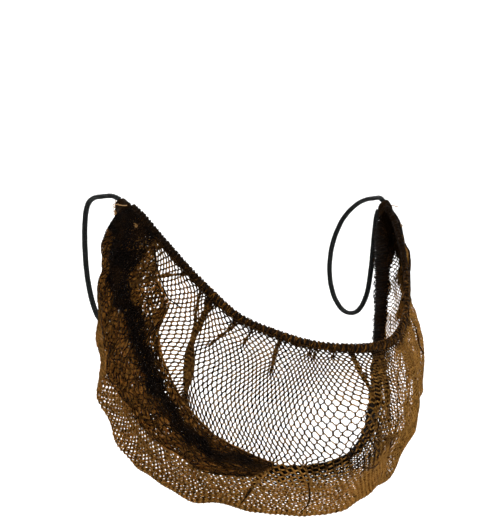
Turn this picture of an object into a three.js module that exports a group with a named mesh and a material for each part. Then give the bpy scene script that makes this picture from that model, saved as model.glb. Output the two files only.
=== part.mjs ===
// Beard net: a knitted honeycomb bag worn over the chin and jaw, gathered on a rolled elastic
// edge above (cheek, upper lip, cheek) and a wider gathered edge below (under the jaw), with an
// elastic loop for each ear. Millimetres, +Z up, face towards -Y, the wearer's right at -X.
// The origin lies midway between the two places where the loops bear on the ears.
import * as THREE from "three";

// ---- driving dimensions ----
const NET_WALL = 1.0;          // knitted net with its fuzz and small folds
const GAP = 0.35;              // clearance between neighbouring pieces
const UPPER_BAND_HEIGHT = 4.0; // rolled elastic edge over the lip
const UPPER_BAND_THICK = 2.6;
const JAW_BAND_THICK = 2.8;    // gathered edge below the jaw; its width is in the table
const LOOP_WIDTH = 2.8;        // flat elastic of the ear loops
const LOOP_THICK = 1.4;
const SPANS_PER_SECTION = 5;   // facets along the net between two sections
const ROWS = 18;               // facets across the net, upper edge to jaw edge
const BAND_SIDES = 8;
const GATHER_SIDES = 14;
const WAVE_HEIGHT = 1.1;       // soft scallops round the outline of the bag
const WAVES_PER_SECTION = 0.9;
const TURN = 0.66;             // where the bag turns under, between upper edge (0) and jaw edge (1)
const TURN_WIDTH = 0.16;       // how far the scallops reach from there
const HEAD_MIDDLE = [0, -30, -50];
// How far down each control point of a section lies between its neighbours in the table.
const CHEEK_SHARE = 0.32;
const BAG_SHARE = 0.74;
const UNDER_SHARE = 0.42;

// One row per section of the net, from the ear to the middle of the chin.
// upper: middle of the rolled edge; fold: where the bag turns under; jaw: middle of the lower edge.
// foldLeft: the same turn on the wearer's left, where the bag sits higher and looser.
// puff: how far the net stands out between upper edge and fold, right and left; sag: slack in the
// returning layer; jawWidth: width of the gathered lower edge.
const SECTIONS = [
  { name: "ear_end", upper: [70.4, -20.6, -2.6], fold: [74.0, -16.8, -6.0], jaw: [70.2, -15.0, -9.2],
    foldLeft: [74.0, -16.8, -6.0], puff: 0.3, puffLeft: 0.3, sag: 0.4, jawWidth: 4.0 },
  { name: "ear_front", upper: [68.6, -28.5, -6.6], fold: [79.0, -16.2, -14.5], jaw: [69.8, -17.0, -17.0],
    foldLeft: [79.0, -16.2, -14.5], puff: 1.6, puffLeft: 1.6, sag: 1.6, jawWidth: 9.0 },
  { name: "ear_canal", upper: [66.0, -37.0, -13.0], fold: [81.0, -13.6, -28.5], jaw: [69.4, -20.0, -28.0],
    foldLeft: [81.0, -13.6, -28.5], puff: 3.0, puffLeft: 2.6, sag: 2.6, jawWidth: 12.0 },
  { name: "lobe", upper: [62.5, -46.2, -20.2], fold: [81.4, -12.4, -47.0], jaw: [68.0, -23.0, -44.0],
    foldLeft: [80.6, -13.5, -46.0], puff: 3.5, puffLeft: 2.6, sag: 3.2, jawWidth: 10.0 },
  { name: "jaw_back", upper: [58.0, -56.0, -28.3], fold: [81.4, -14.6, -72.0], jaw: [64.8, -27.5, -62.0],
    foldLeft: [80.0, -17.0, -69.0], puff: 3.0, puffLeft: 3.2, sag: 4.0, jawWidth: 8.5 },
  { name: "jaw_corner", upper: [52.5, -65.5, -36.3], fold: [80.4, -22.0, -97.0], jaw: [61.2, -33.0, -80.5],
    foldLeft: [77.0, -25.0, -91.0], puff: 2.0, puffLeft: 4.4, sag: 5.0, jawWidth: 8.0 },
  { name: "jaw_side", upper: [45.0, -76.5, -45.2], fold: [73.6, -41.5, -116.5], jaw: [54.5, -41.2, -96.5],
    foldLeft: [68.5, -43.0, -108.0], puff: 1.0, puffLeft: 6.8, sag: 5.0, jawWidth: 7.5 },
  { name: "chin_corner", upper: [34.5, -88.3, -50.6], fold: [59.0, -64.0, -127.5], jaw: [43.5, -52.5, -107.5],
    foldLeft: [52.0, -66.0, -117.5], puff: 0.5, puffLeft: 7.0, sag: 5.0, jawWidth: 7.0 },
  { name: "chin_side", upper: [19.5, -100.5, -54.9], fold: [33.0, -86.0, -130.0], jaw: [25.5, -63.0, -115.5],
    foldLeft: [30.0, -85.5, -124.5], puff: 2.0, puffLeft: 4.5, sag: 4.5, jawWidth: 7.0 },
  { name: "chin", upper: [0, -107.0, -55.8], fold: [0, -96.5, -129.0], jaw: [0, -68.0, -118.0],
    foldLeft: [0, -96.5, -129.0], puff: 3.5, puffLeft: 3.5, sag: 4.0, jawWidth: 7.0 },
];

// Main folds of the net, one row each. at: section number at the upper edge, counted from the
// right ear (0) over the chin (9) to the left ear (18); drift: how far it has moved along when it
// ends; from, to: its ends between the upper edge (0) and the jaw edge (1); lift: height of the
// ridge, minus for a valley; width: in sections.
const FOLDS = [
  { at: 2.4, drift: -0.5, from: 0.05, to: 0.55, lift: 2.2, width: 0.30 },
  { at: 3.9, drift: -0.9, from: 0.0, to: 0.65, lift: 2.6, width: 0.34 },
  { at: 5.0, drift: -0.8, from: 0.0, to: 0.70, lift: 2.4, width: 0.32 },
  { at: 5.9, drift: -0.5, from: 0.0, to: 0.30, lift: 2.0, width: 0.28 },
  { at: 6.6, drift: -0.2, from: 0.0, to: 0.25, lift: 1.8, width: 0.26 },
  { at: 7.4, drift: -0.1, from: 0.0, to: 0.30, lift: 2.0, width: 0.28 },
  { at: 6.4, drift: 0.6, from: 0.45, to: 0.85, lift: -2.2, width: 0.32 },
  { at: 8.2, drift: 0.4, from: 0.50, to: 0.85, lift: 1.8, width: 0.32 },
  { at: 9.9, drift: 0.3, from: 0.45, to: 0.85, lift: -2.0, width: 0.34 },
  { at: 10.4, drift: 0.7, from: 0.0, to: 0.60, lift: 2.6, width: 0.34 },
  { at: 11.4, drift: 0.2, from: 0.10, to: 0.75, lift: -2.8, width: 0.36 },
  { at: 12.4, drift: -0.4, from: 0.05, to: 0.75, lift: 2.2, width: 0.38 },
  { at: 13.6, drift: -0.3, from: 0.05, to: 0.70, lift: -2.4, width: 0.34 },
  { at: 15.0, drift: 0.2, from: 0.0, to: 0.65, lift: 2.4, width: 0.34 },
];

// The ear loop's route on the wearer's right: from the gathered end over the ear, down behind it,
// under the lobe and up in front to the gathered end again.
const LOOP_ROUTE = [
  [73.0, -12.4, 0.7], [74.4, -7.5, 1.6], [75.8, 0.0, 0.7], [76.2, 8.0, -0.8], [75.2, 16.0, -4.8],
  [72.8, 23.0, -13.0], [70.4, 27.0, -26.0], [69.0, 26.0, -40.0], [68.6, 20.0, -51.5],
  [69.2, 10.5, -58.0], [70.2, 0.5, -56.5], [70.8, -6.0, -47.5], [71.0, -8.4, -34.0],
  [71.2, -9.0, -20.0], [71.8, -9.2, -9.0], [72.4, -9.9, -4.2],
];

// Sections of the gathered and sewn end, from the net up to the loop: middle, height across the
// two edges and thickness.
const GATHER_SECTIONS = [
  { middle: [71.9, -16.7, -5.1], height: 10.6, thick: 4.8 },
  { middle: [72.2, -15.7, -3.9], height: 9.8, thick: 4.8 },
  { middle: [72.6, -14.1, -2.1], height: 8.0, thick: 4.2 },
  { middle: [72.9, -13.2, -0.9], height: 6.0, thick: 3.4 },
];
const GATHER_LEAN = [0, -0.75, 0.66]; // direction of a section's height, up and forward

// ---- small helpers ----
const vec = (p, side = 1) => new THREE.Vector3(p[0] * side, p[1], p[2]);
const HALF = SECTIONS.length - 1;
const STATIONS = 2 * HALF;

// Control points of one section, from the upper edge to the jaw edge.
function sectionPoints(index) {
  const left = index > HALF;
  const row = SECTIONS[left ? STATIONS - index : index];
  const side = left ? 1 : -1;
  const upper = vec(row.upper, side);
  const fold = vec(left ? row.foldLeft : row.fold, side);
  const jaw = vec(row.jaw, side);
  const puff = left ? row.puffLeft : row.puff;
  const along = fold.clone().sub(upper).normalize();
  const outward = upper.clone().lerp(fold, 0.5).sub(vec(HEAD_MIDDLE)).setZ(0).normalize();
  const bagPuff = 0.55 * puff + 0.6 * row.sag;
  const cheek = upper.clone().lerp(fold, CHEEK_SHARE).addScaledVector(outward, puff);
  const bag = upper.clone().lerp(fold, BAG_SHARE).addScaledVector(outward, bagPuff);
  const under = fold.clone().lerp(jaw, UNDER_SHARE).addScaledVector(along, row.sag);
  return [upper, cheek, bag, fold, under, jaw];
}

const controlRows = [0, 1, 2, 3, 4, 5].map((k) => {
  const points = [];
  for (let i = 0; i <= STATIONS; i += 1) points.push(sectionPoints(i)[k]);
  return new THREE.CatmullRomCurve3(points, false, "catmullrom", 0.5);
});

const widths = [];
for (let i = 0; i <= STATIONS; i += 1) widths.push(SECTIONS[i > HALF ? STATIONS - i : i].jawWidth);

function jawWidthAt(s) {
  const i = Math.min(Math.floor(s), STATIONS - 1);
  return THREE.MathUtils.lerp(widths[i], widths[i + 1], s - i);
}

function sectionCurve(s) {
  const points = controlRows.map((row) => row.getPoint(THREE.MathUtils.clamp(s / STATIONS, 0, 1)));
  const curve = new THREE.CatmullRomCurve3(points, false, "catmullrom", 0.5);
  curve.arcLengthDivisions = 80;
  return curve;
}

// The skin's outward direction where the jaw edge lies against it.
function jawOutward(s) {
  return controlRows[5].getPoint(s / STATIONS).sub(vec(HEAD_MIDDLE)).normalize();
}

// How far before the middle of the jaw edge the net ends, when it arrives in the given direction.
function jawReach(s, arriving) {
  const tangent = controlRows[5].getTangent(s / STATIONS);
  const across = jawOutward(s).cross(tangent).normalize();
  const flat = Math.abs(arriving.dot(across)) / (jawWidthAt(s) / 2 + GAP);
  const steep = Math.sqrt(1 - arriving.dot(across) ** 2) / (JAW_BAND_THICK / 2 + GAP + NET_WALL / 2);
  return 1 / Math.hypot(flat, steep);
}

// A point on the smooth net, s in sections along it and t from upper edge (0) to jaw edge (1).
function smoothPoint(s, t) {
  const curve = sectionCurve(s);
  const length = curve.getLength();
  const start = UPPER_BAND_HEIGHT / 2 + GAP;
  const end = length - jawReach(s, curve.getTangent(1));
  return curve.getPointAt((start + (end - start) * t) / length);
}

function netNormal(s, t) {
  const ds = 0.02;
  const dt = 0.01;
  const along = smoothPoint(Math.min(s + ds, STATIONS), t).sub(smoothPoint(Math.max(s - ds, 0), t));
  const across = smoothPoint(s, Math.min(t + dt, 1)).sub(smoothPoint(s, Math.max(t - dt, 0)));
  return across.cross(along).normalize();
}

// Scallops push the turn of the bag out and in along its outline.
function scallop(s, t) {
  const fromTurn = (t - TURN) / TURN_WIDTH;
  const ends = THREE.MathUtils.smoothstep(Math.min(s, STATIONS - s), 0.6, 2.0);
  const wave = Math.sin(2 * Math.PI * WAVES_PER_SECTION * s + 0.8 * Math.sin(1.7 * s));
  return WAVE_HEIGHT * ends * wave * Math.exp(-fromTurn * fromTurn);
}

function foldHeight(s, t) {
  let height = 0;
  for (const fold of FOLDS) {
    const u = (t - fold.from) / (fold.to - fold.from);
    if (u <= 0 || u >= 1) continue;
    const middle = fold.at + fold.drift * u;
    const offset = (s - middle) / fold.width;
    height += fold.lift * Math.sin(Math.PI * u) ** 0.5 * Math.exp(-offset * offset);
  }
  return height;
}

// Closed solid from a list of rings that all have the same number of points.
function loft(rings) {
  const sides = rings[0].length;
  const positions = rings.flat().flatMap((p) => [p.x, p.y, p.z]);
  const index = [];
  for (let r = 0; r + 1 < rings.length; r += 1) {
    for (let k = 0; k < sides; k += 1) {
      const a = r * sides + k;
      const b = r * sides + ((k + 1) % sides);
      index.push(a, b, b + sides, a, b + sides, a + sides);
    }
  }
  const last = (rings.length - 1) * sides;
  for (let k = 1; k + 1 < sides; k += 1) {
    index.push(0, k + 1, k, last, last + k, last + k + 1);
  }
  const geometry = new THREE.BufferGeometry();
  geometry.setAttribute("position", new THREE.Float32BufferAttribute(positions, 3));
  geometry.setIndex(index);
  geometry.computeVertexNormals();
  return geometry;
}

// The bag: each ring goes down the outer face of a section and back up its inner face.
function netPouch() {
  const rings = [];
  const spans = STATIONS * SPANS_PER_SECTION;
  for (let i = 0; i <= spans; i += 1) {
    const s = i / SPANS_PER_SECTION;
    const outer = [];
    const inner = [];
    for (let j = 0; j <= ROWS; j += 1) {
      const t = j / ROWS;
      const normal = netNormal(s, t);
      const middle = smoothPoint(s, t).addScaledVector(normal, foldHeight(s, t) + scallop(s, t));
      outer.push(middle.clone().addScaledVector(normal, NET_WALL / 2));
      inner.unshift(middle.clone().addScaledVector(normal, -NET_WALL / 2));
    }
    rings.push([...outer, ...inner]);
  }
  return loft(rings);
}

// Oval tube along a curve; width lies along the net, thickness across it.
function ovalBand(centre, outward, widthAt, thick, steps) {
  const rings = [];
  for (let i = 0; i <= steps; i += 1) {
    const u = i / steps;
    const tangent = centre.getTangent(u);
    const across = outward(u).cross(tangent).normalize();
    const up = tangent.clone().cross(across).normalize();
    const ring = [];
    for (let k = 0; k < BAND_SIDES; k += 1) {
      const angle = (2 * Math.PI * (k + 0.5)) / BAND_SIDES;
      ring.push(centre.getPoint(u)
        .addScaledVector(across, (Math.cos(angle) * widthAt(u)) / 2)
        .addScaledVector(up, (Math.sin(angle) * thick) / 2));
    }
    rings.push(ring);
  }
  return loft(rings);
}

function upperBand() {
  const curve = controlRows[0];
  const outward = (u) => netNormal(u * STATIONS, 0);
  return ovalBand(curve, outward, () => UPPER_BAND_HEIGHT, UPPER_BAND_THICK, 4 * STATIONS);
}

function jawBand() {
  const curve = controlRows[5];
  const outward = (u) => jawOutward(u * STATIONS);
  return ovalBand(curve, outward, (u) => jawWidthAt(u * STATIONS), JAW_BAND_THICK, 4 * STATIONS);
}

// Gathered end of the net, sewn flat where both edges and the ear loop meet.
function earGather(side) {
  const lean = vec(GATHER_LEAN).normalize();
  const outward = new THREE.Vector3(side, 0, 0);
  const rings = GATHER_SECTIONS.map((row) => {
    const ring = [];
    for (let k = 0; k < GATHER_SIDES; k += 1) {
      const angle = (2 * Math.PI * (k + 0.5) * side) / GATHER_SIDES;
      const up = (Math.cos(angle) * row.height) / 2;
      const out = (Math.sin(angle) * row.thick) / 2;
      ring.push(vec(row.middle, side).addScaledVector(lean, up).addScaledVector(outward, out));
    }
    return ring;
  });
  return loft(rings);
}

// Flat elastic of one ear loop, its ends side by side in the gathered end of the net.
function earLoop(side) {
  const route = new THREE.CatmullRomCurve3(LOOP_ROUTE.map((p) => vec(p, side)));
  const section = new THREE.Shape();
  const flat = LOOP_WIDTH / 2 - LOOP_THICK / 2;
  section.absarc(0, flat, LOOP_THICK / 2, 0, Math.PI, false);
  section.absarc(0, -flat, LOOP_THICK / 2, Math.PI, 2 * Math.PI, false);
  section.closePath();
  return new THREE.ExtrudeGeometry(section, {
    steps: 36, curveSegments: 2, bevelEnabled: false, extrudePath: route,
  });
}

const group = new THREE.Group();
const netBrown = { color: 0x3d2411, roughness: 0.85, metalness: 0, side: THREE.DoubleSide };
const bandBrown = { color: 0x1f1108, roughness: 0.8, metalness: 0 };
const elasticBlack = { color: 0x14171a, roughness: 0.6, metalness: 0 };

function addPiece(name, geometry, finish) {
  const mesh = new THREE.Mesh(geometry, new THREE.MeshStandardMaterial(finish));
  mesh.name = name;
  group.add(mesh);
}

addPiece("net_pouch", netPouch(), netBrown);
addPiece("upper_band", upperBand(), bandBrown);
addPiece("jaw_band", jawBand(), bandBrown);
for (const [name, side] of [["right", -1], ["left", 1]]) {
  addPiece(`ear_gather_${name}`, earGather(side), bandBrown);
  addPiece(`ear_loop_${name}`, earLoop(side), elasticBlack);
}

export default group;
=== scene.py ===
import math

import bpy
import numpy as np
from mathutils import Matrix, Vector


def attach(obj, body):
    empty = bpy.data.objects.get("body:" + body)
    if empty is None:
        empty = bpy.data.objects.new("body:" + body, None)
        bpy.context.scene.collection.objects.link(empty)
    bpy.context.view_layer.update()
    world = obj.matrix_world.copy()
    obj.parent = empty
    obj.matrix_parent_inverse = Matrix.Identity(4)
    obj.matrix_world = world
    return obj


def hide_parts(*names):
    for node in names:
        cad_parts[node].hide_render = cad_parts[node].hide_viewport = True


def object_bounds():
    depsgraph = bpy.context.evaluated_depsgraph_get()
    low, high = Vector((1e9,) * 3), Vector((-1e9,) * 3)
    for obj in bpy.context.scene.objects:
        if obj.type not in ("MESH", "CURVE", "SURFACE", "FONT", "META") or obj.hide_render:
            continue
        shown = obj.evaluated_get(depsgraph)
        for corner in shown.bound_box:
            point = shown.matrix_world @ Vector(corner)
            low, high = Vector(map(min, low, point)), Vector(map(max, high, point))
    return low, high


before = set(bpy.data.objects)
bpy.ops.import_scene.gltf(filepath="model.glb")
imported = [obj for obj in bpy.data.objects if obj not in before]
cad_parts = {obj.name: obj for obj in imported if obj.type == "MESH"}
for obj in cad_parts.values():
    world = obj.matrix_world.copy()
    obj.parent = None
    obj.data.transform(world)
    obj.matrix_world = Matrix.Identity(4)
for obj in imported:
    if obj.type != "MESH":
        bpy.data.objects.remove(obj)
cad_low, cad_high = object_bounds()
scene = bpy.context.scene


# ---- the view ----
# From in front of the wearer's right cheek and a little above it, with the head held at a slight
# tilt. The camera aims above and beside the chin, because the net hangs below the face.
VIEW_TURN = math.radians(-32)
VIEW_RISE = math.radians(7.5)
VIEW_TILT = math.radians(3)
VIEW_DISTANCE = 0.85
VIEW_LENS = 124.2
BEHIND_CHIN = Vector((0, -0.044, -0.047))
AIM_ASIDE = -0.0219
AIM_ABOVE = 0.02
NEAREST = 0.05            # the camera sees from there
FURTHEST = 20             # to there

level = Vector((math.cos(VIEW_TURN), math.sin(VIEW_TURN), 0))
away = Vector((math.sin(VIEW_TURN) * math.cos(VIEW_RISE),
               -math.cos(VIEW_TURN) * math.cos(VIEW_RISE), math.sin(VIEW_RISE)))
steep = away.cross(level)
view_right = level * math.cos(VIEW_TILT) + steep * math.sin(VIEW_TILT)
view_up = steep * math.cos(VIEW_TILT) - level * math.sin(VIEW_TILT)
eye = BEHIND_CHIN + away * VIEW_DISTANCE
looking = (BEHIND_CHIN + view_right * AIM_ASIDE + view_up * AIM_ABOVE - eye).normalized()
image_right = looking.cross(view_up).normalized()
image_up = image_right.cross(looking)

camera_data = bpy.data.cameras.new("view")
camera_data.lens = VIEW_LENS
camera_data.clip_start = NEAREST
camera_data.clip_end = FURTHEST
camera = bpy.data.objects.new("view", camera_data)
camera.matrix_world = Matrix.Translation(eye) @ Matrix(
    (image_right, image_up, -looking)).transposed().to_4x4()
scene.collection.objects.link(camera)
scene.camera = camera


# ---- the studio ----
# A pale floor that sweeps up into a wall all round, so that no horizon shows from any side, and
# three large soft lights: one above the wearer's right, one at the left and one behind.
FLOOR_BELOW = 0.055       # how far the floor lies under the net
FLOOR_RADIUS = 1.7
FLOOR_MIDDLE = 0.4        # first ring of the floor
SWEEP_RADIUS = 0.7
WALL_TOP = 2.6
SWEEP_STEPS = 12
SWEEP_SIDES = 96
FLOOR_WHITE = (0.90, 0.90, 0.90, 1)
FLOOR_ROUGH = 0.9
SKY_STRENGTH = 1.15


def studio_profile(floor_height):
    profile = [(FLOOR_MIDDLE, floor_height), (FLOOR_RADIUS - SWEEP_RADIUS, floor_height)]
    for i in range(1, SWEEP_STEPS + 1):
        angle = 0.5 * math.pi * i / SWEEP_STEPS
        profile.append((FLOOR_RADIUS - SWEEP_RADIUS * (1 - math.sin(angle)),
                        floor_height + SWEEP_RADIUS * (1 - math.cos(angle))))
    return profile + [(FLOOR_RADIUS, WALL_TOP)]


def studio_sweep(floor_height):
    points = [(0, 0, floor_height)]
    faces = []
    profile = studio_profile(floor_height)
    for radius, height in profile:
        for k in range(SWEEP_SIDES):
            angle = 2 * math.pi * k / SWEEP_SIDES
            points.append((radius * math.cos(angle), radius * math.sin(angle), height))
    for k in range(SWEEP_SIDES):
        following = (k + 1) % SWEEP_SIDES
        faces.append((0, 1 + k, 1 + following))
        for ring in range(len(profile) - 1):
            inner = 1 + ring * SWEEP_SIDES
            outer = inner + SWEEP_SIDES
            faces.append((inner + k, outer + k, outer + following, inner + following))
    mesh = bpy.data.meshes.new("studio_sweep")
    mesh.from_pydata(points, [], faces)
    mesh.shade_smooth()
    return bpy.data.objects.new("studio_sweep", mesh)


sweep = studio_sweep(cad_low.z - FLOOR_BELOW)
scene.collection.objects.link(sweep)
paper = bpy.data.materials.new("studio_paper")
paper.use_nodes = True
paper_shader = paper.node_tree.nodes["Principled BSDF"]
paper_shader.inputs["Base Color"].default_value = FLOOR_WHITE
paper_shader.inputs["Roughness"].default_value = FLOOR_ROUGH
sweep.data.materials.append(paper)

sky = bpy.data.worlds.new("studio_air")
sky.use_nodes = True
air = sky.node_tree.nodes["Background"]
air.inputs["Color"].default_value = (1, 1, 1, 1)
air.inputs["Strength"].default_value = SKY_STRENGTH
scene.world = sky
scene.view_settings.view_transform = "Standard"

LIGHTS = [
    {"name": "key", "place": (-0.75, -0.85, 0.80), "size": 0.60, "watts": 13},
    {"name": "fill", "place": (0.95, -0.80, 0.35), "size": 0.80, "watts": 6},
    {"name": "rim", "place": (0.35, 1.10, 0.85), "size": 0.70, "watts": 8},
]
for row in LIGHTS:
    lamp_data = bpy.data.lights.new(row["name"], "AREA")
    lamp_data.size = row["size"]
    lamp_data.energy = row["watts"]
    lamp = bpy.data.objects.new(row["name"], lamp_data)
    lamp.location = row["place"]
    lamp.rotation_euler = (BEHIND_CHIN - lamp.location).to_track_quat("-Z", "Y").to_euler()
    scene.collection.objects.link(lamp)


# ---- the net's form ----
# One bag of net, from the rolled edge over the lip out over the cheeks and the beard, round the
# turn at the bottom and back to the edge under the jaw. Each row of the table is one section of
# it, in millimetres, from the ear to the middle of the chin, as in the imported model.


def named_rows(columns, rows):
    """Rows of a table as dictionaries by the names of their columns."""
    return [dict(zip(columns.split(), row)) for row in rows]


MM = 0.001
HEAD_MIDDLE = np.array((0, -30, -50))
CHEEK_SHARE = 0.32        # how far down to the turn the cheek's point lies,
BAG_SHARE = 0.74          # and the bag's
UNDER_SHARE = 0.42        # how far back to the jaw edge the slack's lowest point lies
BAG_PUFF = 0.55           # the bag stands off by these shares of the section's puff
BAG_SAG = 0.6             # and sag
RIM_HIDDEN = 1.0          # net rolled up inside the upper edge, mm
HEM_HIDDEN = 0.8          # net held inside the jaw edge, mm
LINE_STEPS = 250          # steps of a section's curve before it is evened out
SECTION_STEPS = 20        # grid steps between two sections
CROSS_STEPS = 150         # grid steps between upper edge and jaw edge
SECTIONS = named_rows("name upper fold fold_left jaw puff puff_left sag jaw_width", [
    ("ear_end", (70.4, -20.6, -2.6), (74.0, -16.8, -6.0), (74.0, -16.8, -6.0),
     (70.2, -15.0, -9.2), 0.3, 0.3, 0.4, 4.0),
    ("ear_front", (68.6, -28.5, -6.6), (79.0, -16.2, -14.5), (79.0, -16.2, -14.5),
     (69.8, -17.0, -17.0), 1.6, 1.6, 1.6, 9.0),
    ("ear_canal", (66.0, -37.0, -13.0), (81.0, -13.6, -28.5), (81.0, -13.6, -28.5),
     (69.4, -20.0, -28.0), 3.0, 2.6, 2.6, 12.0),
    ("lobe", (62.5, -46.2, -20.2), (81.4, -12.4, -47.0), (80.6, -13.5, -46.0),
     (68.0, -23.0, -44.0), 3.5, 2.6, 3.2, 10.0),
    ("jaw_back", (58.0, -56.0, -28.3), (81.4, -14.6, -72.0), (80.0, -17.0, -69.0),
     (64.8, -27.5, -62.0), 3.0, 3.2, 4.0, 8.5),
    ("jaw_corner", (52.5, -65.5, -36.3), (80.4, -22.0, -97.0), (77.0, -25.0, -91.0),
     (61.2, -33.0, -80.5), 2.0, 4.4, 5.0, 8.0),
    ("jaw_side", (45.0, -76.5, -45.2), (73.6, -41.5, -116.5), (68.5, -43.0, -108.0),
     (54.5, -41.2, -96.5), 1.0, 6.8, 5.0, 7.5),
    ("chin_corner", (34.5, -88.3, -50.6), (59.0, -64.0, -127.5), (52.0, -66.0, -117.5),
     (43.5, -52.5, -107.5), 0.5, 7.0, 5.0, 7.0),
    ("chin_side", (19.5, -100.5, -54.9), (33.0, -86.0, -130.0), (30.0, -85.5, -124.5),
     (25.5, -63.0, -115.5), 2.0, 4.5, 4.5, 7.0),
    ("chin", (0.0, -107.0, -55.8), (0.0, -96.5, -129.0), (0.0, -96.5, -129.0),
     (0.0, -68.0, -118.0), 3.5, 3.5, 4.0, 7.0),
])
CHIN = len(SECTIONS) - 1
LAST = 2 * CHIN


def unit(vectors):
    return vectors / np.linalg.norm(vectors, axis=-1, keepdims=True)


def section_points(index):
    """Control points of one section from the upper edge to the jaw edge."""
    left = index > CHIN
    row = SECTIONS[LAST - index if left else index]
    side = np.array((1 if left else -1, 1, 1))
    upper = np.array(row["upper"]) * side
    fold = np.array(row["fold_left"] if left else row["fold"]) * side
    jaw = np.array(row["jaw"]) * side
    puff = row["puff_left"] if left else row["puff"]
    along = unit(fold - upper)
    outward = unit(((upper + fold) / 2 - HEAD_MIDDLE) * (1, 1, 0))
    cheek = upper + (fold - upper) * CHEEK_SHARE + outward * puff
    bag = upper + (fold - upper) * BAG_SHARE + outward * (BAG_PUFF * puff + BAG_SAG * row["sag"])
    under = fold + (jaw - fold) * UNDER_SHARE + along * row["sag"]
    return (upper, cheek, bag, fold, under, jaw)


def through(points, at):
    """Smooth curve through points; at counts the points from the first one, 0."""
    padded = np.concatenate([[2 * points[0] - points[1]], points, [2 * points[-1] - points[-2]]])
    first = np.clip(np.floor(at).astype(int), 0, len(points) - 2)
    share = (at - first).reshape((-1,) + (1,) * (points.ndim - 1))
    before, start, end, after = (padded[first + k] for k in range(4))
    leaving, arriving = (end - before) / 2, (after - start) / 2
    return (start + leaving * share + (3 * (end - start) - 2 * leaving - arriving) * share**2
            + (2 * (start - end) + leaving + arriving) * share**3)


def evenly(points, start, end, count):
    """Points at equal steps along a line, from start to end short of its two ends."""
    lengths = np.linalg.norm(np.diff(points, axis=0), axis=1)
    walked = np.concatenate([[0], np.cumsum(lengths)])
    at = np.linspace(start, walked[-1] - end, count)
    return np.stack([np.interp(at, walked, points[:, axis]) for axis in range(3)], axis=1)


stations = np.linspace(0, LAST, LAST * SECTION_STEPS + 1)
control_rows = through(np.array([section_points(i) for i in range(LAST + 1)]), stations)
fine_rows = np.linspace(0, 5, LINE_STEPS + 1)
net_grid = np.array([evenly(through(controls, fine_rows), RIM_HIDDEN, HEM_HIDDEN, CROSS_STEPS + 1)
                     for controls in control_rows]) * MM
rim_line = control_rows[:, 0] * MM
jaw_line = control_rows[:, 5] * MM
net_outward = unit(np.cross(np.gradient(net_grid, axis=1), np.gradient(net_grid, axis=0)))


def sample(table, down, across):
    """Value of a table between its entries; down and across count its rows and columns."""
    down = np.clip(down, 0, table.shape[0] - 1.001)
    across = np.clip(across, 0, table.shape[1] - 1.001)
    i, j = down.astype(int), across.astype(int)
    extra = (1,) * (table.ndim - 2)
    a, b = (down - i).reshape(down.shape + extra), (across - j).reshape(down.shape + extra)
    near = table[i, j] * (1 - b) + table[i, j + 1] * b
    far = table[i + 1, j] * (1 - b) + table[i + 1, j + 1] * b
    return near * (1 - a) + far * a


def smooth(value, low, high):
    """0 up to low, 1 from high on, and an even rise between them."""
    share = np.clip((value - low) / (high - low), 0, 1)
    return share * share * (3 - 2 * share)


# ---- the net's folds ----
# The long bag is gathered on two shorter edges, so it stands in soft folds, and here and there a
# pleat is tucked right over itself. Sections count from the right ear (0) over the chin (9) to
# the left ear (18); 0 is the upper edge and 1 the jaw edge. A fold starts at section at and has
# moved by drift where it ends. Lifts are in millimetres.
FOLDS = named_rows("at drift start end lift width", [
    ( 2.4, -0.5, 0.05, 0.55,  2.2, 0.30),
    ( 3.9, -0.9, 0.00, 0.65,  2.6, 0.34),
    ( 5.0, -0.8, 0.00, 0.70,  2.4, 0.32),
    ( 5.9, -0.5, 0.00, 0.30,  2.0, 0.28),
    ( 6.6, -0.2, 0.00, 0.25,  1.8, 0.26),
    ( 7.4, -0.1, 0.00, 0.30,  2.0, 0.28),
    ( 6.4,  0.6, 0.45, 0.85, -2.2, 0.32),
    ( 8.2,  0.4, 0.50, 0.85,  1.8, 0.32),
    ( 9.9,  0.3, 0.45, 0.85, -2.0, 0.34),
    (10.4,  0.7, 0.00, 0.60,  2.6, 0.34),
    (11.4,  0.2, 0.10, 0.75, -2.8, 0.36),
    (12.4, -0.4, 0.05, 0.75,  2.2, 0.38),
    (13.6, -0.3, 0.05, 0.70, -2.4, 0.34),
    (15.0,  0.2, 0.00, 0.65,  2.4, 0.34),
])
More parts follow.
